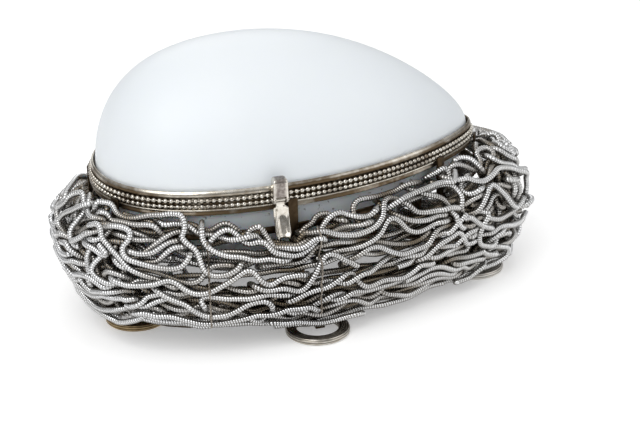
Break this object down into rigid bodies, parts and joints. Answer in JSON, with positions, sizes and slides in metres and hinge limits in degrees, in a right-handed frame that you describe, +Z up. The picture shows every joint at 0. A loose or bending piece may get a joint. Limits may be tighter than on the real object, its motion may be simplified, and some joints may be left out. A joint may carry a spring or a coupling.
{
  "type": "egg-shaped trinket box",
  "caption": "Opaline glass egg box on its side: hinged lid, metal rims with front hasp clasp, in a nest of spiral-wound wire on ring feet.",
  "frame": {"origin": "on the table, under the middle of the whole piece", "axes": "+Z up, +X along the egg towards its pointed end, -Y towards the front with the clasp"},
  "size_m": [0.2071, 0.1242, 0.1145],
  "materials": {
    "opaline_glass": "satin white opaline",
    "old_silver": "tarnished silver plate",
    "clasp": "worn silver plate",
    "bronze": "dark brown bronze",
    "ring_foot": "tarnished silver plate",
    "nest_wire": "bright spiral-wound wire"
  },
  "bodies": {
    "base": {"base_glass": "opaline_glass", "base_bezel": "old_silver", "base_beading": "old_silver", "hinge_leaf_base": "old_silver", "hinge_pin": "old_silver", "catch": "clasp", "foot_left": "ring_foot", "foot_front": "ring_foot", "foot_right": "ring_foot", "foot_back": "ring_foot", "foot_arm_left": "bronze", "foot_arm_front": "bronze", "foot_arm_right": "bronze", "foot_arm_back": "bronze", "strap_1": "bronze", "strap_2": "bronze", "strap_3": "bronze", "strap_4": "bronze", "strap_5": "bronze", "strap_6": "bronze", "strap_7": "bronze", "strap_8": "bronze", "mid_hoop": "bronze", "base_hoop": "bronze", "nest_wire_01": "nest_wire", "nest_wire_02": "nest_wire", "nest_wire_03": "nest_wire", "nest_wire_04": "nest_wire", "nest_wire_05": "nest_wire", "nest_wire_06": "nest_wire", "nest_wire_07": "nest_wire", "nest_wire_08": "nest_wire", "nest_wire_09": "nest_wire", "nest_wire_10": "nest_wire", "nest_wire_11": "nest_wire", "nest_wire_12": "nest_wire", "nest_wire_13": "nest_wire", "nest_wire_14": "nest_wire", "nest_wire_15": "nest_wire", "nest_wire_16": "nest_wire", "nest_wire_17": "nest_wire", "nest_wire_18": "nest_wire", "nest_wire_19": "nest_wire", "nest_wire_20": "nest_wire", "nest_wire_21": "nest_wire", "nest_wire_22": "nest_wire", "nest_wire_23": "nest_wire", "nest_wire_24": "nest_wire", "tie_1": "bronze", "tie_2": "bronze", "tie_3": "bronze", "tie_4": "bronze"},
    "lid": {"lid_glass": "opaline_glass", "lid_bezel": "old_silver", "lid_beading": "old_silver", "hinge_leaf_lid": "old_silver", "clasp_lug": "clasp", "clasp_pin": "clasp"},
    "hasp": {"clasp_hasp": "clasp"}
  },
  "joints": [
    {"name": "lid_hinge", "type": "hinge", "parent": "base", "child": "lid", "pos_m": [-0.0214, 0.04956, 0.0615], "axis": [-1, 0, 0], "range_deg": [0, 95]},
    {"name": "clasp_hinge", "type": "hinge", "parent": "lid", "child": "hasp", "pos_m": [-0.0214, -0.04956, 0.0619], "axis": [-1, 0, 0], "range_deg": [0, 105]}
  ]
}
